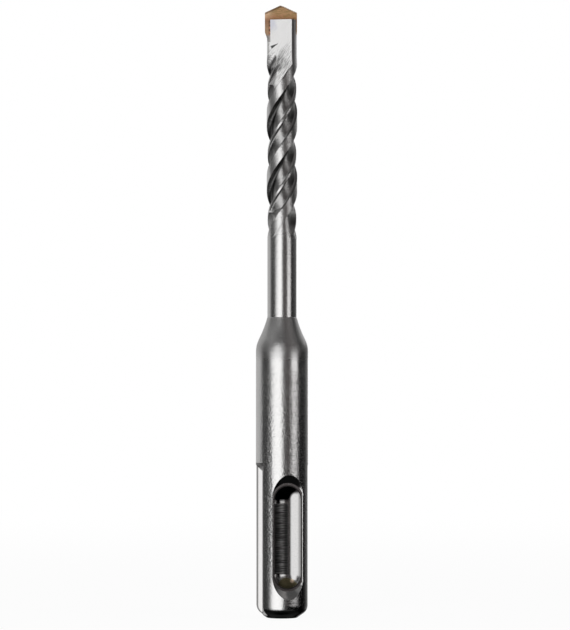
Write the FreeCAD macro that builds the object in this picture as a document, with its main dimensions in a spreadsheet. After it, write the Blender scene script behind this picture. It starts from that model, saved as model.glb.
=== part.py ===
import FreeCAD, Part
import math
import os
import re

import Sketcher
from FreeCAD import Placement, Rotation, Vector

# Hammer drill bit with a grooved 10 mm shank, a four-land twist and a brazed carbide plate.
# Frame: the origin is the centre of the shank's end face and +Z runs along the bit to its point.
# The two ball grooves face +Y and -Y, and the two drive slots face +X and -X.
# Lengths are in millimetres and angles in degrees.

SIZES = {
    # Shank
    "shank_radius": (5.0, "radius of the shank"),
    "shank_length": (50.9, "end face to the start of the shoulder"),
    "end_chamfer": (1.4, "height of the chamfer round the end face"),
    "chamfer_width": (2.0, "width of that chamfer, from the shank's side to the end face"),
    "end_round": (2.0, "rounding between the shank's side and the end chamfer"),
    # Neck and shaft
    "shoulder_round": (5.2, "convex round where the shank runs into the neck"),
    "shoulder_angle": (27.0, "steepest lean of the neck, where its convex round turns concave"),
    "neck_length": (6.6, "start of the shoulder to the plain shaft"),
    "shaft_radius": (2.8, "radius of the plain shaft"),
    "plain_length": (14.8, "neck to the first trace of a flute"),
    "swell_length": (1.9, "length over which the shaft swells to the land radius"),
    "twist_length": (33.5, "first trace of a flute to the head"),
    # Head
    "land_radius": (2.925, "radius over the wide lands"),
    "head_radius": (2.86, "radius of the steel beside the plate"),
    "head_taper": (2.0, "length over which the land radius falls to the head radius"),
    "head_length": (8.6, "end of the twist to the top of the cheeks"),
    "head_turn": (-16.0, "angle from the drive slots to the plate"),
    # Ball grooves
    "ledge_depth": (1.05, "depth of the flat ledge round a ball groove"),
    "ledge_width": (6.24, "width of the ledge's outline"),
    "ledge_start": (5.2, "end face to the lower end of the ledge"),
    "ledge_length": (20.7, "length of the ledge's outline"),
    "ledge_flare": (56.0, "lean of the walls that rise from the ledge to the surface"),
    "ball_radius": (3.5, "radius of the pocket's rounded section"),
    "pocket_width": (5.2, "width of the pocket at the ledge"),
    "pocket_margin": (0.62, "width of the ledge at both ends of the pocket"),
    # Drive slots
    "slot_depth": (1.6, "depth of a drive slot on its centre line"),
    "slot_floor": (3.74, "width of a drive slot's floor"),
    "slot_draft": (23.0, "lean of a drive slot's side walls"),
    "slot_length": (28.0, "length of a drive slot's floor"),
    "slot_ramp": (45.0, "lean of a drive slot's end wall"),
    # Twist
    "lead": (24.7, "rise of one full turn of the twist"),
    "deep_core": (1.6, "distance from the axis to the floor of a deep flute"),
    "deep_angle": (73.0, "angle that a deep flute spans"),
    "shallow_core": (1.85, "distance from the axis to the floor of a shallow flute"),
    "shallow_angle": (58.0, "angle that a shallow flute spans"),
    "narrow_radius": (2.75, "radius over the narrow lands"),
    "narrow_angle": (8.0, "angle that a narrow land spans"),
    "run_out": (6.7, "length over which the flutes rise to the surface"),
    "deep_reach": (2.2, "length by which the deep flutes run on into the head"),
    # Head flats
    "flat_distance": (1.6, "distance from the axis to a head flat"),
    "flat_lean": (15.0, "angle between a head flat and the plate"),
    "flat_reach": (4.6, "length by which a head flat runs down a shallow flute"),
    # Plate and braze
    "plate_width": (6.14, "width of the plate across its corners"),
    "plate_thickness": (1.95, "thickness of the plate"),
    "plate_height": (6.9, "foot of the plate to its point"),
    "plate_offset": (-0.2, "distance by which the plate sits off centre"),
    "point_height": (2.7, "top of the cheeks to the point"),
    "point_angle": (130.0, "angle between the two cutting edges"),
    "flank_relief": (9.0, "fall of a flank behind its cutting edge"),
    "foot_bevel": (0.65, "width of the bevel at each lower corner of the plate"),
    "foot_bevel_height": (1.9, "height of that bevel"),
    "braze_gap": (0.08, "thickness of the braze film"),
}

Z_AXIS = Vector(0, 0, 1)
CLEAR = 1.0  # how far a cutter stands out past the steel
TOLERANCE = 1e-6
RELIEF_OVERLAP = 6.0  # angle by which a land's relief cut reaches into the flutes beside it
ORIGIN_POINT = (-1, 1)  # a sketch's own origin, as its constraints name it
HALF_CIRCLE = "half circle"
SMOOTH = "smooth"

doc = FreeCAD.newDocument("hammer_drill_bit")
sheet = doc.addObject("Spreadsheet::Sheet", "Sizes")
for row, (alias, (value, note)) in enumerate(SIZES.items(), start=1):
    sheet.set(f"A{row}", str(value))
    sheet.set(f"B{row}", note)
    sheet.setAlias(f"A{row}", alias)
doc.recompute()

# Heights and widths that several pieces share
NECK_TOP = "(shank_length + neck_length)"
TWIST_START = "(shank_length + neck_length + plain_length)"
TWIST_END = "(shank_length + neck_length + plain_length + twist_length)"
CHEEK_TOP = "(shank_length + neck_length + plain_length + twist_length + head_length)"
PLATE_FOOT = f"({CHEEK_TOP} + point_height - plate_height)"
OUTSIDE = f"(land_radius + {CLEAR})"
WIDE_ANGLE = "(180 - deep_angle - narrow_angle - shallow_angle)"
FLAT_WAY = "(head_turn - 90 - flat_lean)"
TRAILING_EDGE = f"({FLAT_WAY} + acos(flat_distance / land_radius) / 1deg)"
LEDGE = "(shank_radius - ledge_depth)"


def cells(expression):
    """The expression with the name of each size turned into a reference to its cell."""
    return re.sub(r"[a-z_]+", lambda m: f"Sizes.{m[0]}" if m[0] in SIZES else m[0], expression)


def worth(expression):
    """The number that an expression of sizes has now."""
    return float(sheet.evalExpression(expression))


def bind(thing, path, expression):
    thing.setExpression(path, cells(expression))


def add(kind, name, **values):
    thing = doc.addObject(kind, name)
    for key, value in values.items():
        setattr(thing, key, value)
    return thing


def turn(thing, expression):
    """Turns a finished object about the bit's axis."""
    thing.Placement = Placement(thing.Placement.Base, Rotation(Z_AXIS, 1))
    bind(thing, "Placement.Rotation.Angle", expression)


def origin_part(body, role):
    """One of the planes or axes that a body has at its own origin."""
    return next(f for f in body.Origin.OriginFeatures if f.Role == role)


def body_sketch(body, name, role, offset=None):
    """A sketch on one of the body's own origin planes, or at a bound distance from it."""
    sketch = body.newObject("Sketcher::SketchObject", name)
    sketch.AttachmentSupport = [(origin_part(body, role), "")]
    sketch.MapMode = "FlatFace"
    if offset:
        bind(sketch, "AttachmentOffset.Base.z", offset)
    return sketch


def hold(sketch, kind, tag, expression, *where):
    """Adds a named constraint and binds it to an expression of sizes."""
    number = sketch.addConstraint(Sketcher.Constraint(kind, *where, worth(expression)))
    sketch.renameConstraint(number, tag)
    bind(sketch, f"Constraints.{tag}", expression)


def hold_point(sketch, tag, geometry, point, x, y):
    """Holds a point at bound distances from the sketch's origin, or on its axes."""
    for axis, kind, expression, line in (("x", "DistanceX", x, -2), ("y", "DistanceY", y, -1)):
        if expression == "0":
            sketch.addConstraint(Sketcher.Constraint("PointOnObject", geometry, point, line))
        else:
            hold(sketch, kind, f"{tag}_{axis}", expression, *ORIGIN_POINT, geometry, point)


def arc_between(start, end, radius, bulge):
    """The arc from start to end that bows to the right of its way where bulge is 1, or else left."""
    half = (end - start).Length / 2
    left = Vector(start.y - end.y, end.x - start.x, 0).normalize()
    rise = math.sqrt(max(radius * radius - half * half, 0.0))
    circle = Part.Circle((start + end) / 2 + left * (bulge * rise), Z_AXIS, radius)
    first, last = (start, end) if bulge > 0 else (end, start)
    return Part.ArcOfCircle(circle, circle.parameter(first), circle.parameter(last))


def outline(sketch, corners):
    """Draws a closed outline. A corner is its name and its two distances. Where an arc leads on from
    it, two more follow: the arc's radius and the side that it bows to. HALF_CIRCLE and SMOOTH stand
    for the radius of a half circle and of an arc that carries on the way of the arc before it."""
    points = [Vector(worth(corner[1]), worth(corner[2]), 0) for corner in corners]
    edges = []
    for i, corner in enumerate(corners):
        start, end = points[i], points[(i + 1) % len(points)]
        if len(corner) == 3:
            edges.append((sketch.addGeometry(Part.LineSegment(start, end)), 1, 2))
            continue
        radius, bulge = corner[3:]
        chord = end - start
        if radius == HALF_CIRCLE:
            length = chord.Length / 2
        elif radius == SMOOTH:
            spoke = start - sketch.Geometry[edges[-1][0]].Center
            length = chord.Length / (2 * abs(spoke.normalize().dot(chord.normalize())))
        else:
            length = worth(radius)
        arc = arc_between(start, end, length, bulge)
        edges.append((sketch.addGeometry(arc), *((1, 2) if bulge > 0 else (2, 1))))
    for i, corner in enumerate(corners):
        before, _, last = edges[i - 1]
        edge, first, end = edges[i]
        radius = corner[3] if len(corner) > 3 else None
        joint = "Tangent" if radius == SMOOTH else "Coincident"
        sketch.addConstraint(Sketcher.Constraint(joint, before, last, edge, first))
        hold_point(sketch, corner[0], edge, first, corner[1], corner[2])
        if radius == HALF_CIRCLE:
            sketch.addConstraint(Sketcher.Constraint("Symmetric", edge, first, edge, end, edge, 3))
        elif radius not in (None, SMOOTH):
            hold(sketch, "Radius", f"{corner[0]}_radius", radius, edge)


def turned_blank():
    """The shank, neck, shaft and head as turned, with the grooves and slots cut into the shank."""
    body = add("PartDesign::Body", "turned_blank")
    profile = body_sketch(body, "lengthwise_section", "XZ_Plane")
    round_end = "shank_radius - shoulder_round * (1 - cos(shoulder_angle))"
    outline(profile, [
        ("centre", "0", "0"),
        ("end_face", "shank_radius - chamfer_width", "0"),
        ("chamfer", "shank_radius", "end_chamfer"),
        ("shoulder", "shank_radius", "shank_length", "shoulder_round", 1),
        ("waist", round_end, "shank_length + shoulder_round * sin(shoulder_angle)", SMOOTH, -1),
        ("neck", "shaft_radius", NECK_TOP),
        ("swell", "shaft_radius", TWIST_START),
        ("lands", "land_radius", f"{TWIST_START} + swell_length"),
        ("lands_end", "land_radius", TWIST_END),
        ("head", "head_radius", f"{TWIST_END} + head_taper"),
        ("cheek", "head_radius", CHEEK_TOP),
        ("top", "0", CHEEK_TOP),
    ])
    turned = body.newObject("PartDesign::Revolution", "turning")
    turned.Profile = profile
    turned.ReferenceAxis = (profile, ["V_Axis"])
    turned.Angle = 360
    doc.recompute()

    rounded = body.newObject("PartDesign::Fillet", "end_rounding")
    rounded.Base = (turned, circles_at(worth("end_chamfer"), turned.Shape))
    bind(rounded, "Radius", "end_round")
    cuts = [*ball_groove(body), drive_slot(body)]
    pattern = body.newObject("PartDesign::PolarPattern", "opposite_grooves")
    pattern.Originals = cuts
    pattern.Axis = (origin_part(body, "Z_Axis"), [""])
    pattern.Angle = 360
    pattern.Occurrences = 2
    body.Tip = pattern
    return body


def circles_at(height, shape):
    """The names of a shape's round edges at a height along the bit."""
    names = []
    for number, edge in enumerate(shape.Edges, start=1):
        level = abs(edge.CenterOfMass.z - height) < TOLERANCE
        if level and isinstance(edge.Curve, Part.Circle):
            names.append(f"Edge{number}")
    return names


def stadium(sketch, half_width, low, high):
    """An upright outline with straight sides and half-round ends."""
    outline(sketch, [
        ("low_right", half_width, f"{low} + {half_width}"),
        ("high_right", half_width, f"{high} - {half_width}", HALF_CIRCLE, 1),
        ("high_left", f"-{half_width}", f"{high} - {half_width}"),
        ("low_left", f"-{half_width}", f"{low} + {half_width}", HALF_CIRCLE, 1),
    ])


def ball_groove(body):
    """The ledge with its flared ends, and the rounded pocket sunk into it."""
    ledge = body_sketch(body, "ledge_outline", "XZ_Plane", LEDGE)
    stadium(ledge, "(ledge_width / 2)", "ledge_start", "(ledge_start + ledge_length)")
    flare = "(2 * ledge_depth * tan(ledge_flare))"
    mouth = body_sketch(body, "mouth_outline", "XZ_Plane", "shank_radius + ledge_depth")
    stadium(mouth, f"(ledge_width / 2 + {flare})", f"(ledge_start - {flare})",
            f"(ledge_start + ledge_length + {flare})")
    recess = body.newObject("PartDesign::SubtractiveLoft", "groove_recess")
    recess.Profile = ledge
    recess.Sections = [mouth]

    pocket_end = "(pocket_margin + pocket_width / 2)"
    low = f"(ledge_start + {pocket_end})"
    high = f"(ledge_start + ledge_length - {pocket_end})"
    middle = f"({LEDGE} + sqrt(ball_radius ^ 2 - (pocket_width / 2) ^ 2))"
    section = body_sketch(body, "pocket_section", "YZ_Plane")
    outline(section, [
        ("low_tip", f"-{middle}", f"{low} - ball_radius", "ball_radius", 1),
        ("low_side", f"ball_radius - {middle}", low),
        ("high_side", f"ball_radius - {middle}", high, "ball_radius", 1),
        ("high_tip", f"-{middle}", f"{high} + ball_radius"),
    ])
    pocket = body.newObject("PartDesign::Groove", "groove_pocket")
    pocket.Profile = section
    pocket.ReferenceAxis = (section, ["Edge4"])
    pocket.Angle = 360
    return recess, pocket


def rectangle(sketch, half_width, low, high):
    outline(sketch, [
        ("low_right", half_width, low),
        ("high_right", half_width, high),
        ("high_left", f"-{half_width}", high),
        ("low_left", f"-{half_width}", low),
    ])


def drive_slot(body):
    """A slot with leaning walls, open at the end face and closed by a slope at its top."""
    floor = body_sketch(body, "slot_floor_outline", "YZ_Plane", "shank_radius - slot_depth")
    rectangle(floor, "(slot_floor / 2)", f"-{CLEAR}", "slot_length")
    height = f"(slot_depth + {CLEAR})"
    mouth = body_sketch(body, "slot_mouth_outline", "YZ_Plane", f"shank_radius + {CLEAR}")
    rectangle(mouth, f"(slot_floor / 2 + {height} * tan(slot_draft))", f"-{CLEAR}",
              f"(slot_length + {height} * tan(slot_ramp))")
    slot = body.newObject("PartDesign::SubtractiveLoft", "drive_slot")
    slot.Profile = floor
    slot.Sections = [mouth]
    slot.Ruled = True
    return slot


def helical_cut(name, section, radius, height, angle):
    """The solid that a section in the XY plane sweeps as it climbs along the twist."""
    path = add("Part::Helix", f"{name}_path")
    bind(path, "Pitch", "lead")
    bind(path, "Radius", radius)
    bind(path, "Height", height)
    path.SegmentLength = 1
    cut = add("Part::Sweep", name, Sections=[section], Spine=(path, []), Solid=True, Frenet=True)
    bind(cut, "Placement.Base.z", f"{TWIST_START} - {CLEAR}")
    turn(cut, f"{TRAILING_EDGE} + {angle} - 360 * (twist_length + {CLEAR}) / lead")
    return cut


def flute(name, core, angle, height, turned):
    """A flute of round section. It meets the wide lands' radius over the angle that it spans."""
    middle = f"((land_radius ^ 2 - {core} ^ 2) / (2 * (land_radius * cos({angle} / 2) - {core})))"
    section = add("Sketcher::SketchObject", f"{name}_section")
    place = Vector(worth(middle), 0, 0)
    section.addGeometry(Part.Circle(place, Z_AXIS, worth(f"{middle} - {core}")))
    hold_point(section, "centre", 0, 3, middle, "0")
    hold(section, "Radius", "radius", f"{middle} - {core}", 0)
    return helical_cut(name, section, middle, height, turned)


def land_relief(name, turned):
    """The sliver that is rolled down to lower a narrow land."""
    half = f"(narrow_angle / 2 + {RELIEF_OVERLAP})"
    section = add("Sketcher::SketchObject", f"{name}_section")
    outline(section, [
        ("inner_low", f"narrow_radius * cos({half})", f"-narrow_radius * sin({half})"),
        ("outer_low", f"{OUTSIDE} * cos({half})", f"-{OUTSIDE} * sin({half})", OUTSIDE, 1),
        ("outer_high", f"{OUTSIDE} * cos({half})", f"{OUTSIDE} * sin({half})"),
        ("inner_high", f"narrow_radius * cos({half})", f"narrow_radius * sin({half})",
         "narrow_radius", -1),
    ])
    return helical_cut(name, section, "narrow_radius", f"twist_length + {CLEAR}", turned)


def twist_cuts():
    """Both sets of flutes: a deep flute, a narrow land's relief and a shallow flute on each side."""
    cuts = []
    for side, half_turn in (("a", "0"), ("b", "180")):
        deep = f"{half_turn} + {WIDE_ANGLE} + deep_angle / 2"
        narrow = f"{half_turn} + {WIDE_ANGLE} + deep_angle + narrow_angle / 2"
        shallow = f"{half_turn} - shallow_angle / 2"
        reach = f"twist_length + {CLEAR} + deep_reach"
        cuts.append(flute(f"deep_flute_{side}", "deep_core", "deep_angle", reach, deep))
        cuts.append(flute(f"shallow_flute_{side}", "shallow_core", "shallow_angle",
                          f"twist_length + {CLEAR}", shallow))
        cuts.append(land_relief(f"narrow_land_{side}", narrow))
    return add("Part::MultiFuse", "twist_cuts", Shapes=cuts)


def run_out_core():
    """The steel that the flutes leave as they rise to the surface at the foot of the twist."""
    profile = add("Sketcher::SketchObject", "run_out_profile",
                  Placement=Placement(Vector(), Rotation(Vector(1, 0, 0), 90)))
    rise = "(shaft_radius - deep_core)"
    outline(profile, [
        ("foot", "0", f"{TWIST_START} - 2 * {CLEAR}"),
        ("rim", OUTSIDE, f"{TWIST_START} - 2 * {CLEAR}"),
        ("rim_top", OUTSIDE, TWIST_START),
        ("fade", "shaft_radius", TWIST_START,
         f"((run_out ^ 2 + {rise} ^ 2) / (2 * {rise}))", -1),
        ("full_depth", "deep_core", f"{TWIST_START} + run_out"),
        ("top", "0", f"{TWIST_START} + run_out"),
    ])
    return add("Part::Revolution", "run_out_core", Source=profile, Axis=Z_AXIS, Angle=360, Solid=True)


def quarter_block(name, way):
    """The quarter of the head that keeps its wide land whole above the twist."""
    block = add("Part::Box", name)
    bind(block, "Length", OUTSIDE)
    bind(block, "Width", OUTSIDE)
    bind(block, "Height", f"head_length + {CLEAR}")
    bind(block, "Placement.Base.z", TWIST_END)
    turn(block, way)
    return block


def head_flat(name, way):
    """The cutter for one of the two flats beside the plate. Below the head it keeps between the
    narrow land and the wide one, and so runs out in the shallow flute."""
    profile = add("Sketcher::SketchObject", f"{name}_profile",
                  Placement=Placement(Vector(), Rotation(Vector(1, 1, 1), 120)))
    edge = "(acos(flat_distance / land_radius) / 1deg)"
    turned = "(360 * flat_reach / lead)"
    bind(profile, "Placement.Base.x", "flat_distance")
    outline(profile, [
        ("left", f"-{OUTSIDE}", TWIST_END),
        ("narrow_land", f"narrow_radius * sin({edge} - shallow_angle)", TWIST_END),
        ("low_left", f"narrow_radius * sin({edge} - shallow_angle - {turned})",
         f"{TWIST_END} - flat_reach"),
        ("low_right", f"land_radius * sin({edge} - {turned})", f"{TWIST_END} - flat_reach"),
        ("wide_land", f"land_radius * sin({edge})", TWIST_END),
        ("right", OUTSIDE, TWIST_END),
        ("top_right", OUTSIDE, f"{CHEEK_TOP} + {CLEAR}"),
        ("top_left", f"-{OUTSIDE}", f"{CHEEK_TOP} + {CLEAR}"),
    ])
    cutter = add("Part::Extrusion", name, Base=profile, DirMode="Custom", Dir=Vector(1, 0, 0),
                 Solid=True)
    bind(cutter, "LengthFwd", f"{OUTSIDE} - flat_distance")
    turn(cutter, way)
    return cutter


def cut(name, base, tool):
    return add("Part::Cut", name, Base=base, Tool=tool)


def fluted_blank():
    """The turned blank with its twist and its head flats, before the slot for the plate."""
    opposite = f"{FLAT_WAY} + 180"
    cuts = twist_cuts()
    lands = [quarter_block("front_land", FLAT_WAY), quarter_block("back_land", opposite)]
    for kept in [*lands, run_out_core()]:
        cuts = cut(f"cuts_clear_of_{kept.Name}", cuts, kept)
    twisted = cut("twisted_blank", turned_blank(), cuts)
    flats = add("Part::MultiFuse", "head_flats", Shapes=[
        head_flat("front_flat", FLAT_WAY),
        head_flat("back_flat", opposite),
    ])
    return cut("fluted_blank", twisted, flats)


def plate_block(name, margin):
    """The plate's own block, its lower corners bevelled, or the slot for it with a margin."""
    profile = add("Sketcher::SketchObject", f"{name}_outline",
                  Placement=Placement(Vector(), Rotation(Vector(1, 0, 0), 90)))
    half = f"(plate_width / 2 + {margin})"
    left = f"(plate_offset - {half})"
    right = f"(plate_offset + {half})"
    foot = f"({PLATE_FOOT} - {margin})"
    top = f"({CHEEK_TOP} + point_height + {CLEAR})"
    outline(profile, [
        ("foot_left", f"{left} + foot_bevel", foot),
        ("foot_right", f"{right} - foot_bevel", foot),
        ("side_right", right, f"{foot} + foot_bevel_height"),
        ("top_right", right, top),
        ("top_left", left, top),
        ("side_left", left, f"{foot} + foot_bevel_height"),
    ])
    block = add("Part::Extrusion", name, Base=profile, DirMode="Custom", Dir=Vector(0, -1, 0),
                Solid=True, Symmetric=True)
    bind(block, "LengthFwd", f"plate_thickness + 2 * {margin}")
    turn(block, "head_turn")
    return block


def point_cutter(name, way):
    """What is ground away above one flank of the point."""
    profile = add("Sketcher::SketchObject", f"{name}_profile",
                  Placement=Placement(Vector(), Rotation(Vector(1, 0, 0), 90)))
    point = f"({CHEEK_TOP} + point_height)"
    fall = "(plate_width / tan(point_angle / 2))"
    outline(profile, [
        ("high", "-plate_width", f"{point} + {fall}"),
        ("low", "plate_width", f"{point} - {fall}"),
        ("side", "plate_width", f"{point} + {fall} + {CLEAR}"),
        ("top", "-plate_width", f"{point} + {fall} + {CLEAR}"),
    ])
    cutter = add("Part::Extrusion", name, Base=profile, DirMode="Custom", Dir=Vector(0, 1, 0),
                 Solid=True, Symmetric=True)
    bind(cutter, "Dir.z", "tan(flank_relief)")
    bind(cutter, "LengthFwd", "2 * plate_thickness")
    turn(cutter, way)
    return cutter


def pieces():
    """The steel, the carbide plate and the braze film between them."""
    blank = fluted_blank()
    plate = plate_block("plate_block", "0")
    slot = plate_block("plate_slot", "braze_gap")
    flanks = add("Part::MultiFuse", "flanks", Shapes=[
        point_cutter("right_flank", "head_turn"),
        point_cutter("left_flank", "head_turn + 180"),
    ])
    steel = cut("steel_body", blank, slot)
    tip = cut("carbide_tip", plate, flanks)
    filling = add("Part::MultiCommon", "slot_filling", Shapes=[blank, slot])
    braze = cut("braze_seam", filling, plate)
    return steel, tip, braze


def check(objects):
    """Stops where an object failed to build."""
    for thing in doc.Objects:
        if {"Invalid", "Error"} & set(thing.State):
            raise RuntimeError(f"{thing.Name} did not build: {thing.State}")
    for thing in objects:
        shape = thing.Shape
        if shape.isNull() or not shape.isValid() or not shape.Solids:
            raise RuntimeError(f"{thing.Label} is not a sound solid")


def main():
    made = pieces()
    doc.recompute()
    check(made)
    os.makedirs("parts", exist_ok=True)
    for piece in made:
        shape = piece.Shape
        shape.exportStep(os.path.join("parts", f"{piece.Label}.step"))
        print(f"{piece.Label}: {len(shape.Solids)} solid, {shape.Volume:.2f} mm3, "
              f"{len(shape.Faces)} faces, z {shape.BoundBox.ZMin:.2f} to {shape.BoundBox.ZMax:.2f}")


main()
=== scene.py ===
import math

import bpy
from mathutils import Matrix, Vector


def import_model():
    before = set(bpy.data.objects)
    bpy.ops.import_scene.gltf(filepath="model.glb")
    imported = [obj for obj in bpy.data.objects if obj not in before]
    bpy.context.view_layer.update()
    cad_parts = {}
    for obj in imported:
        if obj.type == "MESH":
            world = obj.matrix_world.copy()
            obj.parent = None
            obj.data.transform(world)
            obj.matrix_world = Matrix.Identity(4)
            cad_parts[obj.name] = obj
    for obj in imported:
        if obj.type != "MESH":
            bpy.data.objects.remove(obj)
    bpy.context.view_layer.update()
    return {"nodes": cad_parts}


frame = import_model()

# A hammer drill bit that stands on the end of its shank, with +Z along the bit. Lengths are in
# metres where objects are placed, and in millimetres in the sizes below and inside the materials.
# Where four numbers stand together, an area starts at the first, is full from the second to the
# third, and ends at the fourth. Where two stand together, it starts at one and is full at the next.

MM = 0.001

# The camera
VIEW_AZIMUTH = -16.0  # degrees; the bearing that the camera looks from
PIXELS_HIGH = 630
PIXELS_PER_MM = 5.22
CAMERA_HEIGHT = 57.9 * MM
CAMERA_DISTANCE = 0.65
CAMERA_SIDE = 3 / PIXELS_PER_MM * MM  # the bit stands three pixels left of the middle
SENSOR = 36.0

# Heights along the bit
NECK_START = 50.9
NECK_TOP = 57.5
TWIST_START = 72.3
TWIST_END = 105.8
TUMBLED_TOP = (48.9, 45.0)  # the tumbled grain ends before the shoulder's round
CALM_END = (4.0, 9.0)  # and is weaker at the shank's end
NECK_GRAIN = (50.8, 52.5)

# The shank's ball grooves and drive slots
SKIN = (4.88, 4.94)  # the radii where the shank's outside starts
GROOVES = (2.4, 2.6, 30.0, 30.5)
LEDGE = 3.95  # the ledge's distance from the axis
POCKET_SIDE = (2.8, 2.7)  # the pocket's half width
POCKET_TOP = (21.5, 22.4)
POCKET_FOOT = (8.1, 7.6)
RINGED_WALL = (8.5, 8.6, 21.9, 22.0)
LOWER_CENTRE = 8.42  # the centres of the pocket's two round ends
UPPER_CENTRE = 22.68
LIP = (2.55, 2.6, 2.75, 2.85)  # the lip's distance from the pocket's middle line
SLOT_TOP = (29.7, 29.6)
SLOT_INSIDE = (3.3, 3.35)
SLOT_FLOOR = 3.74  # width of the slot's floor
SLOT_DEPTH_LINE = 3.4  # the floor's distance from the axis
SLOT_DRAFT = math.tan(math.radians(23))

# The head's flats
FLAT_DISTANCE = (1.42, 1.47, 1.63, 1.66)
FLAT_START = (101.2, 101.3)
FLAT_RADIUS = (2.85, 2.8)
FLAT_WAY = math.radians(-121)
FLAT_X = math.cos(FLAT_WAY)
FLAT_Y = math.sin(FLAT_WAY)

# The twist
LEAD = 24.7
TRAILING_EDGE = -64.2  # degrees; the wide land's trailing edge at the twist's end
FLUTED = (76.6, 79.0, 104.8, 105.8)
RUN_OUT = (71.0, 71.5, 76.0, 78.5)
# Degrees round from the wide land's trailing edge: wide land to 41, deep flute to 114, narrow
# land to 122, shallow flute to 180
DEEP_FLOOR = (44, 56, 108, 113)
SHALLOW_FLOOR = (122, 130, 174, 179)
DEEP_WALL = (40, 42, 55, 66)
NARROW_WALL = (121, 123, 126, 131)

# The plate
PLATE_WAY = math.radians(-16)
PLATE_X = math.cos(PLATE_WAY)
PLATE_Y = math.sin(PLATE_WAY)
PLATE_FILM = (112.0, 111.4)  # below this the bronze film gives way to grey


def rgb(*parts):
    return (*parts, 1.0)


BLACK = rgb(0, 0, 0)
WHITE = rgb(1, 1, 1)
STEEL = rgb(0.60, 0.595, 0.59)
GROUND_STEEL = rgb(0.75, 0.745, 0.74)
HEAT_TINT = rgb(0.54, 0.55, 0.63)
PAINTED_OLIVE_REFLECTION = rgb(0.17, 0.15, 0.085)
LIGHT_TAN = rgb(0.72, 0.56, 0.42)
BRONZE = rgb(0.56, 0.33, 0.18)
OLIVE_BRONZE = rgb(0.37, 0.25, 0.11)
PALE_BRONZE = rgb(0.74, 0.50, 0.32)
RED_BRONZE = rgb(0.40, 0.17, 0.09)
BURNT_EDGE = rgb(0.09, 0.05, 0.035)
BURNT_FOOT = rgb(0.12, 0.06, 0.035)
BARE_FOOT = rgb(0.33, 0.32, 0.31)
DARK_COPPER = rgb(0.13, 0.075, 0.045)
COPPER = rgb(0.46, 0.22, 0.13)
FLOOR_COLOUR = rgb(0.86, 0.86, 0.86)


class Value:
    """A node's output. Python's operators join such outputs into shader maths."""

    def __init__(self, finish, socket):
        self.finish = finish
        self.socket = socket

    def __add__(self, other):
        return self.finish.maths("ADD", self, other)

    def __radd__(self, other):
        return self.finish.maths("ADD", other, self)

    def __sub__(self, other):
        return self.finish.maths("SUBTRACT", self, other)

    def __rsub__(self, other):
        return self.finish.maths("SUBTRACT", other, self)

    def __mul__(self, other):
        return self.finish.maths("MULTIPLY", self, other)

    def __rmul__(self, other):
        return self.finish.maths("MULTIPLY", other, self)

    def __truediv__(self, other):
        return self.finish.maths("DIVIDE", self, other)

    def __pow__(self, other):
        return self.finish.maths("POWER", self, other)

    def __abs__(self):
        return self.finish.maths("ABSOLUTE", self)

    def sign(self):
        return self.finish.maths("SIGN", self)

    def at_least(self, other):
        """The larger of the two."""
        return self.finish.maths("MAXIMUM", self, other)

    def fade(self, low, high):
        """0 where this is at low, 1 where it is at high, and smooth between them."""
        span = {"Value": self, "From Min": low, "From Max": high}
        return self.finish.node("MapRange", span, interpolation_type="SMOOTHSTEP")

    def between(self, start, full, last, end):
        """0 up to start, 1 from full to last, and 0 again from end."""
        return self.fade(start, full) * self.fade(end, last)


class Finish:
    """The nodes of a material, or of the world, with the shader that they end in."""

    def __init__(self, owner, kind="Material"):
        owner.use_nodes = True
        self.owner = owner
        self.kind = kind
        self.tree = owner.node_tree
        self.tree.nodes.clear()

    def node(self, kind, sockets=(), output=0, **settings):
        """Adds one node: its settings, then each socket's value or link."""
        made = self.tree.nodes.new(f"ShaderNode{kind}")
        for key, value in settings.items():
            setattr(made, key, value)
        for key, value in dict(sockets).items():
            if isinstance(value, Value):
                self.tree.links.new(value.socket, made.inputs[key])
            else:
                made.inputs[key].default_value = value
        return Value(self, made.outputs[output])

    def maths(self, operation, *values):
        return self.node("Math", dict(enumerate(values)), operation=operation)

    def vectors(self, operation, *values, **sockets):
        return self.node("VectorMath", {**dict(enumerate(values)), **sockets}, operation=operation)

    def place(self):
        """The point on the piece, in millimetres."""
        return self.vectors("SCALE", self.node("TexCoord", output="Object"), Scale=1 / MM)

    def parts(self, vector):
        """A vector's x, y and z."""
        made = self.node("SeparateXYZ", {0: vector}).socket.node
        return [Value(self, socket) for socket in made.outputs]

    def noise(self, point, scale, detail=2.0, roughness=0.5, stretch=(1, 1, 1)):
        """Noise from 0 to 1 with that many grains a millimetre, stretched along the axes."""
        point = self.node("Mapping", {"Vector": point, "Scale": stretch})
        sockets = {"Vector": point, "Scale": scale, "Detail": detail, "Roughness": roughness}
        return self.node("TexNoise", sockets)

    def mix(self, factor, low, high):
        """A colour mix. Its sockets go by number, since several share each name."""
        return self.node("Mix", {0: factor, 6: low, 7: high}, output=2, data_type="RGBA")

    def lean(self, normal, other, share):
        """A normal leaned over towards another one by that share."""
        made = self.node("Mix", {0: share, 4: normal, 5: other}, output=1, data_type="VECTOR")
        return self.vectors("NORMALIZE", made)

    def bump(self, height, **normal):
        """A normal that follows a height in millimetres."""
        return self.node("Bump", {"Height": height, "Strength": 1.0, "Distance": MM, **normal})

    def surface(self, shader):
        made = self.tree.nodes.new(f"ShaderNodeOutput{self.kind}")
        self.tree.links.new(shader.socket, made.inputs["Surface"])
        return self.owner

    def metal(self, colour, roughness, normal):
        return self.surface(self.node("BsdfPrincipled", {
            "Base Color": colour,
            "Metallic": 1.0,
            "Roughness": roughness,
            "Normal": normal,
        }))


def new_finish(name):
    return Finish(bpy.data.materials.new(name))


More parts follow.
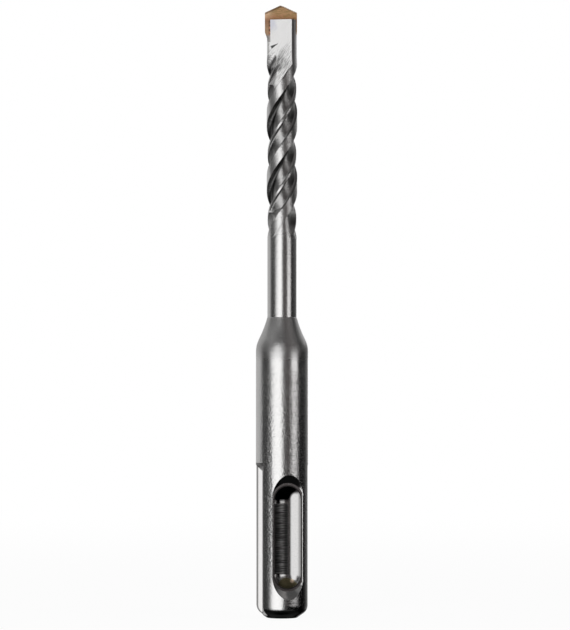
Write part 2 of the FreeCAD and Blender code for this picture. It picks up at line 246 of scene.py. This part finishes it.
class SteelAreas:
    """Where each kind of the steel's surface is, as masks from 0 to 1, and the directions that
    they are measured along."""

    def __init__(self, finish, x, y, z):
        self.radius = (x * x + y * y) ** 0.5
        self.along_the_bit(z)
        self.grooves(finish, x, y, z)
        self.flats(x, y, z)
        self.twisted(finish, x, y, z)

    def along_the_bit(self, z):
        self.shank = 1 - z.fade(NECK_START - 2.5, NECK_START + 0.9)
        self.above_neck = z.fade(NECK_TOP - 0.05, NECK_TOP)
        self.neck = (1 - self.shank) * (1 - self.above_neck)
        self.twist = z.fade(TWIST_START, TWIST_START + 1.5)

    def grooves(self, finish, x, y, z):
        """The ball grooves with their pockets, and the drive slots."""
        sideways = abs(x)
        forward = abs(y)
        recess = (1 - self.radius.fade(*SKIN)) * z.between(*GROOVES)
        slot_edge = SLOT_FLOOR / 2 + (sideways - SLOT_DEPTH_LINE) * SLOT_DRAFT
        self.slot = ((1 - (forward - slot_edge).fade(0.01, 0.04))
                     * sideways.fade(*SLOT_INSIDE) * z.fade(*SLOT_TOP))
        self.smooth = recess.at_least(self.slot)
        outside = finish.maths("SMOOTH_MIN", 5.0, 3.0 + z * 1.43, 1.7)
        self.slot_rim = self.slot * (self.radius - outside).fade(-0.42, -0.28)
        self.pocket = (recess * forward.fade(LEDGE - 0.005, LEDGE - 0.03)
                       * sideways.fade(*POCKET_SIDE))

        # Sideways in the pocket, from the ringed wall to the plain one
        inside = self.inside = 0 - x * y.sign()
        self.rough_wall = self.pocket * inside.fade(0.45, 0.3) * z.between(*RINGED_WALL)
        self.pocket_top = self.pocket * (z - 1.46 * inside.at_least(0.35)).fade(*POCKET_TOP)
        self.pocket_foot = self.pocket * (z + inside * inside * 0.3).fade(*POCKET_FOOT)
        past_end = (LOWER_CENTRE - z).at_least(z - UPPER_CENTRE).at_least(0.0)
        from_middle_line = (x * x + past_end * past_end) ** 0.5
        self.lip = recess * from_middle_line.between(*LIP) * sideways.fade(3.0, 2.9)

    def flats(self, x, y, z):
        outwards = x * FLAT_X + y * FLAT_Y
        self.flat = (abs(outwards).between(*FLAT_DISTANCE) * z.fade(*FLAT_START)
                     * self.radius.fade(*FLAT_RADIUS))
        self.side = outwards.sign()
        self.along = (y * FLAT_X - x * FLAT_Y) * self.side

    def twisted(self, finish, x, y, z):
        around = (finish.maths("ARCTAN2", y, x) * math.degrees(1) - TRAILING_EDGE
                  - (z - TWIST_END) * (360 / LEAD))
        around = finish.maths("FLOORED_MODULO", around, 180.0)
        fluted = z.between(*FLUTED) * (1 - self.flat)
        self.floors = fluted * (around.between(*DEEP_FLOOR) + around.between(*SHALLOW_FLOOR))
        self.deep_wall = fluted * around.between(*DEEP_WALL)
        self.narrow_wall = fluted * around.between(*NARROW_WALL)
        self.land_edge = fluted * (around.fade(175, 178.5) + around.fade(3.5, 0.5))
        self.run_out = z.between(*RUN_OUT)


def steel_height(finish, area, noises, z):
    """The surface's unevenness, in millimetres."""
    tumbled = (area.shank * (1 - area.smooth) * z.fade(*TUMBLED_TOP)
               * (0.3 + 0.7 * z.fade(*CALM_END)))
    drawn = tumbled + area.neck * z.fade(*NECK_GRAIN)
    return (noises["waves"] * 0.03 * tumbled
            + noises["mottle"] * 0.04 * tumbled
            + noises["turning"] * 0.03 * (drawn + 0.5 * area.above_neck * (1 - area.twist))
            + noises["grain"] * 0.02 * (drawn + 0.5 * area.above_neck * (1 - area.flat))
            + noises["lap"] * 0.05 * area.twist * (1 - area.flat)
            + noises["rings"] * (0.01 * area.pocket + 0.03 * area.rough_wall)
            + noises["marks"] * 0.05 * area.flat)


def steel_normal(finish, area, height, own, x, y, z):
    """The normal, evened out in the pocket, the run-outs, the flutes' floors and on the flats."""
    level = finish.vectors("MULTIPLY", own, (1, 1, 0))
    radial = finish.node("CombineXYZ", {"X": x / area.radius, "Y": y / area.radius})
    ground = finish.node("CombineXYZ", {"X": area.side * FLAT_X, "Y": area.side * FLAT_Y})
    normal = finish.lean(own, level, (area.pocket - area.pocket_top) * z.fade(22.4, 22.8))
    normal = finish.lean(normal, radial, area.run_out.at_least(0.8 * area.floors))
    normal = finish.lean(normal, ground, area.flat)
    return finish.bump(height, Normal=normal)


def flat_level(area, marks, z):
    """How light the ground flats are: lighter overall and streaked by grinding, with painted shade
    in a patch of their lower half, towards their foot, along one margin, and low on each flat
    beside and below the deep flute's tongue.
    """
    along = area.along
    streaks = marks.fade(0.38, 0.66)
    # A patch in each flat's lower half, for painted shade
    painted_shade_patch = ((z - 1.37 * along).fade(108.8, 107.4) * z.fade(104.0, 105.2)
            * (1 - 0.8 * along.fade(-0.8, 2.4)))
    # Painted shade: the patch, the flat's foot and one margin are darker; the streaks are the
    # grinding
    level = (1.5 - (0.24 + 0.4 * z.between(100, 104, 107, 111)) * streaks - 0.62 * painted_shade_patch
             - 0.15 * z.fade(110, 103) - 0.8 * along.fade(-1.85, -2.35))
    # Painted shade low on each flat, beside and below the deep flute's tongue
    past_tongue = (z.fade(106, 104.5)
                   * (1 - (along + (105.6 - z) * 0.2).fade(-0.5, -0.1) * z.fade(101.0, 102.4)))
    return 0.8 * level * (1 - 0.62 * past_tongue)


def flute_end_shade(area, z):
    """The painted shade on each flat where the deep flute ends: a narrow dark wedge that leans."""
    start_along, start_height, reach, half_breadth = -1.63, 109.13, 1.5, 0.26
    lean_along, lean_up = 0.887, 0.461
    across = area.along - start_along
    up = z - start_height
    length = across * lean_along + up * lean_up
    off_line = abs(up * lean_along - across * lean_up)
    breadth = off_line - half_breadth * (1 - length / reach)
    return area.flat * length.between(-0.25, 0.0, reach - 0.1, reach) * breadth.fade(0.08, -0.04)


def steel():
    """Tumbled shank, bright grooves, turned neck, polished shaft, rolled twist and ground head."""
    finish = new_finish("worked_steel")
    point = finish.place()
    x, y, z = finish.parts(point)
    area = SteelAreas(finish, x, y, z)
    # The flats' grinding marks run up at a slant
    slant = finish.node("CombineXYZ", {
        "X": (area.along * 0.53 + z * 0.85) * 0.7, "Y": (z * 0.53 - area.along * 0.85) * 7.0})
    noises = {
        "waves": finish.noise(point, 0.9),
        "speckle": finish.noise(point, 2.6, 2.0, 0.7, stretch=(1, 1, 1.4)),
        "mottle": finish.noise(point, 2.5, 1.0, 0.6, stretch=(1, 1, 1.3)),
        "grain": finish.noise(point, 3.0, 3.0, 0.6),
        "turning": finish.noise(point, 1.0, stretch=(1.2, 1.2, 3.6)),
        "lap": finish.noise(point, 1.6, stretch=(1, 1, 3)),
        "rings": finish.noise(point, 1.0, stretch=(0.3, 0.3, 6)),
        "marks": finish.noise(slant, 1.0, 3.0),
    }
    own = finish.node("NewGeometry", output="Normal")
    # Faces that hang over, which get painted shade on the shank
    overhang = finish.parts(own)[2].fade(-0.25, -0.45)

    not_flat = 1 - area.flat
    # Painted light across the middle of the ringed wall, which takes some of its painted shade away
    painted_light = 0.55 * area.inside.between(-2.6, -0.9, -0.8, 0.0) + 0.1
    # How much darker each area is, from 0 to 1. Apart from the speckle, the flats' grinding streaks
    # and the slightly lower level of the shaft, this darkening is painted shade.
    darker = (
        # Painted shade: the neck a little darker all round
        0.2 * area.neck,
        # The flats: their grinding streaks, and painted shade as flat_level says
        area.flat * (1 - flat_level(area, noises["marks"], z)),
        # Painted shade where the deep flute ends on each flat
        0.9 * flute_end_shade(area, z),
        # Painted shade in the flutes: on their floors, their steep walls and along the land edges
        0.35 * area.floors,
        0.82 * area.deep_wall,
        0.56 * area.narrow_wall,
        0.45 * area.land_edge,
        0.04 * area.above_neck * not_flat,
        0.05 * noises["speckle"].fade(0.4, 0.65) * (area.shank + area.neck),
        # Painted shade on the slots' rims, the pockets' tops, the ringed walls with their ring
        # marks, and the whole pockets
        0.7 * area.slot_rim,
        0.985 * area.pocket_top,
        area.rough_wall * (0.9 - painted_light * (0.15 + noises["rings"].fade(0.4, 0.65))),
        0.27 * area.pocket,
        # Painted shade on the shank's overhanging faces and along the pockets' lips
        0.96 * overhang * area.shank,
        0.7 * area.lip,
    )
    tone = math.prod(1 - share for share in darker)

    colour = finish.mix(tone, BLACK, finish.mix(area.flat, STEEL, GROUND_STEEL))
    # The pocket's foot is painted dark olive: a painted reflection
    colour = finish.mix(area.pocket_foot, colour, PAINTED_OLIVE_REFLECTION)
    # A light tan spot in the pocket's foot
    from_spot = ((area.inside - 1.05) ** 2 + (z - 7.15) ** 2) ** 0.5
    colour = finish.mix(0.8 * area.pocket * from_spot.fade(0.5, 0.15), colour, LIGHT_TAN)
    blued = area.flat * z.fade(111.5, 113.5) * (area.along + noises["waves"] * 1.6).fade(0.6, -0.6)
    colour = finish.mix(0.7 * blued, colour, HEAT_TINT)

    roughness = (0.21 * area.shank * (1 - area.smooth) + 0.11 * area.smooth + 0.2 * area.slot
                 + 0.3 * area.rough_wall + 0.2 * area.pocket_foot + 0.33 * area.neck
                 + area.above_neck * (0.2 + 0.06 * area.twist + 0.08 * area.flat)
                 + 0.06 * noises["grain"])
    height = steel_height(finish, area, noises, z)
    return finish.metal(colour, roughness, steel_normal(finish, area, height, own, x, y, z))


def carbide():
    """The plate's bronze-coloured film: paler at one corner, olive and reddish in streaks."""
    finish = new_finish("bronzed_carbide")
    point = finish.place()
    x, y, z = finish.parts(point)
    across = x * PLATE_X + y * PLATE_Y
    blotches = finish.noise(point, 0.8, 3.0, 0.6)
    streaks = finish.noise(point, 1.2, 3.0, 0.6, stretch=(1, 1, 4))
    grain = finish.noise(point, 5.0, 3.0)
    pale_corner = (across + blotches * 1.5).fade(-0.6, -2.2)
    reddish = (z + blotches * 1.2).between(113.4, 114.4, 115.2, 116.2)
    roof_edge = (z + abs(across) * 0.43 + grain * 0.2).fade(116.75, 117.05)
    dark_foot = (z + grain * 0.5).fade(115.1, 114.5)
    colour = finish.mix(streaks.fade(0.36, 0.64), BRONZE, OLIVE_BRONZE)
    colour = finish.mix(pale_corner, colour, PALE_BRONZE)
    colour = finish.mix(reddish * 0.5, colour, RED_BRONZE)
    colour = finish.mix(roof_edge * 0.6, colour, BURNT_EDGE)
    colour = finish.mix(dark_foot * 0.45, colour, BURNT_FOOT)
    colour = finish.mix((z + grain * 0.6).fade(*PLATE_FILM), colour, BARE_FOOT)
    return finish.metal(colour, 0.34 + 0.2 * grain, finish.bump(grain * 0.03 + streaks * 0.04))


def braze():
    """Copper-coloured film, darkened in places."""
    finish = new_finish("copper_braze")
    point = finish.place()
    z = finish.parts(point)[2]
    grain = finish.noise(point, 2.0, 3.0)
    colour = finish.mix(grain.fade(0.4, 0.62), DARK_COPPER, COPPER)
    colour = finish.mix((z + grain * 0.6).fade(*PLATE_FILM), colour, BARE_FOOT)
    return finish.metal(colour, 0.4, finish.bump(grain * 0.03))


def towards(bearing, distance=1.0, height=0.0):
    """A point round the bit. A bearing of 0 is the camera's own, and 90 is on its right."""
    angle = math.radians(VIEW_AZIMUTH + bearing)
    return Vector((math.sin(angle) * distance, -math.cos(angle) * distance, height))


def camera():
    half_height = PIXELS_HIGH / 2 / PIXELS_PER_MM * MM
    place = towards(0, CAMERA_DISTANCE, CAMERA_HEIGHT) + towards(90, CAMERA_SIDE)
    facing = towards(180).to_track_quat("-Z", "Y")
    bpy.ops.object.camera_add(location=place, rotation=facing.to_euler())
    made = bpy.context.object
    made.data.sensor_width = SENSOR
    made.data.lens = SENSOR / 2 / (half_height / CAMERA_DISTANCE)
    bpy.context.scene.camera = made


TENT_RADIUS = 0.6
TENT_LOW = -0.6
TENT_HIGH = 0.9

# What hangs in the light tent, as the bright steel shows it. A panel's four bearings, in degrees,
# are where it starts, where it is full, where it is full up to and where it ends. Its four heights,
# in millimetres, say the same from below. Then come its level and its tint.
PLAIN = (1, 1, 1)
DARK_ROSE = (1, 0.90, 0.89)
PANELS = {
    "main_softbox": ((-62, -40, -3, 9), (-800, -700, 80, 100), 1.66, PLAIN),
    "main_softbox_top": ((-44, -26, -7, 4), (80, 100, 300, 440), 1.75, PLAIN),
    "side_softbox": ((38, 46, 68, 75), (-24, -8, 44, 56), 1.9, PLAIN),
    "side_softbox_top": ((38, 46, 68, 75), (44, 56, 85, 105), 1.36, PLAIN),
    "left_wall": ((-200, -181, -118, -84), (-350, -150, 901, 1000), 0.66, PLAIN),
    "right_wall": ((112, 180, 181, 200), (-350, -150, 901, 1000), 0.55, PLAIN),
    "left_shade": ((-96, -84, -60, -46), (-800, -601, 80, 110), 0.035, PLAIN),
    "left_shade_top": ((-96, -84, -50, -40), (80, 110, 901, 1000), 0.24, PLAIN),
    "front_gap": ((4, 14, 66, 84), (-50, -43, 901, 1000), 0.12, DARK_ROSE),
    "upper_side": ((38, 50, 80, 100), (100, 120, 901, 1000), 0.12, PLAIN),
    "back_softbox": ((158, 166, 186, 196), (-300, -150, 500, 700), 0.9, PLAIN),
    "shaft_side": ((84, 96, 120, 140), (50, 60, 125, 155), 0.11, PLAIN),
    "right_wall_top": ((100, 135, 181, 200), (125, 155, 901, 1000), 0.5, PLAIN),
    "upper_left": ((-200, -181, -10, 10), (400, 520, 901, 1000), 0.23, PLAIN),
    "upper_right": ((-10, 10, 181, 200), (400, 520, 901, 1000), 0.06, PLAIN),
}


def glow(finish, light, made):
    """Makes an object shine with that light, for reflections only."""
    shader = finish.node("Emission", {"Color": light, "Strength": 1.0})
    made.data.materials.append(finish.surface(shader))
    made.visible_camera = False
    made.visible_diffuse = False
    made.visible_shadow = False
    made.visible_transmission = False


def tent():
    """An upright ring round the bit that carries the panels and that only reflections see."""
    bpy.ops.mesh.primitive_cylinder_add(
        vertices=96, radius=TENT_RADIUS, depth=TENT_HIGH - TENT_LOW, end_fill_type="NOTHING",
        location=(0, 0, (TENT_HIGH + TENT_LOW) / 2))
    made = bpy.context.object
    made.name = "light_tent"
    bpy.ops.object.transform_apply()
    finish = new_finish("light_tent")
    turned = finish.node("VectorRotate", {"Vector": finish.place(),
                                          "Angle": -math.radians(VIEW_AZIMUTH)},
                         rotation_type="Z_AXIS")
    right, behind, height = finish.parts(turned)
    bearing = finish.maths("ARCTAN2", right, 0 - behind) * math.degrees(1)
    light = finish.node("CombineXYZ")
    for bearings, heights, level, tint in PANELS.values():
        share = bearing.between(*bearings) * height.between(*heights)
        panel = finish.vectors("SCALE", [level * part for part in tint], Scale=share)
        light = finish.vectors("ADD", light, panel)
    glow(finish, light, made)


def card(name, height, middle, rim):
    """A level card that only reflections see, of one level in its middle and another round it."""
    bpy.ops.mesh.primitive_plane_add(size=2, location=(0, 0, height))
    made = bpy.context.object
    made.name = name
    bpy.ops.object.transform_apply()
    finish = new_finish(name)
    x, y, z = finish.parts(finish.place())
    level = middle + (rim - middle) * ((x * x + y * y) ** 0.5).fade(120, 280)
    glow(finish, finish.vectors("SCALE", (1, 1, 1), Scale=level), made)


def lamp(name, bearing, width, power):
    """A soft lamp that reflections don't see. It aims at the bit's middle."""
    distance, height, tall, aim = 0.7, 0.25, 0.6, 0.06
    place = towards(bearing, distance, height)
    facing = (Vector((0, 0, aim)) - place).to_track_quat("-Z", "Y")
    bpy.ops.object.light_add(type="AREA", location=place, rotation=facing.to_euler())
    made = bpy.context.object
    made.name = name
    made.data.shape = "RECTANGLE"
    made.data.size = width
    made.data.size_y = tall
    made.data.energy = power
    made.visible_camera = False
    made.visible_glossy = False


def floor():
    """A pale floor, white to the camera apart from a trace of the bit's shadow near it."""
    bpy.ops.mesh.primitive_plane_add(size=8)
    made = bpy.context.object
    made.name = "floor"
    finish = new_finish("pale_floor")
    away = finish.node("VectorMath", {0: finish.place()}, output="Value", operation="LENGTH")
    white_share = 0.94 + 0.06 * away.fade(60, 350)
    shader = finish.node("MixShader", {
        0: finish.node("LightPath", output="Is Camera Ray") * white_share,
        1: finish.node("BsdfDiffuse", {"Color": FLOOR_COLOUR}),
        2: finish.node("Emission", {"Strength": 1.0}),
    })
    made.data.materials.append(finish.surface(shader))
    made.visible_glossy = False


def world():
    """White wherever the camera or a reflection looks past the bit, and a soft grey light."""
    made = bpy.data.worlds.new("white_room")
    bpy.context.scene.world = made
    finish = Finish(made, "World")
    seen = finish.node("LightPath", output="Is Camera Ray").at_least(
        finish.node("LightPath", output="Is Glossy Ray"))
    level = finish.node("MapRange", {"Value": seen, "To Min": 0.45})
    finish.surface(finish.node("Background", {"Color": WHITE, "Strength": level}))


def studio():
    world()
    floor()
    tent()
    card("dark_ground", TENT_LOW, 0.003, 0.17)
    card("grey_ceiling", TENT_HIGH, 0.10, 0.10)
    lamp("main_lamp", -20, 0.6, 3.0)
    lamp("side_lamp", 60, 0.4, 1.0)


bpy.ops.object.select_all(action="DESELECT")
finishes = {"steel_body": steel(), "carbide_tip": carbide(), "braze_seam": braze()}
for name, material in finishes.items():
    frame["nodes"][name].material_slots[0].material = material
camera()
studio()
bpy.context.scene.view_settings.view_transform = "Standard"
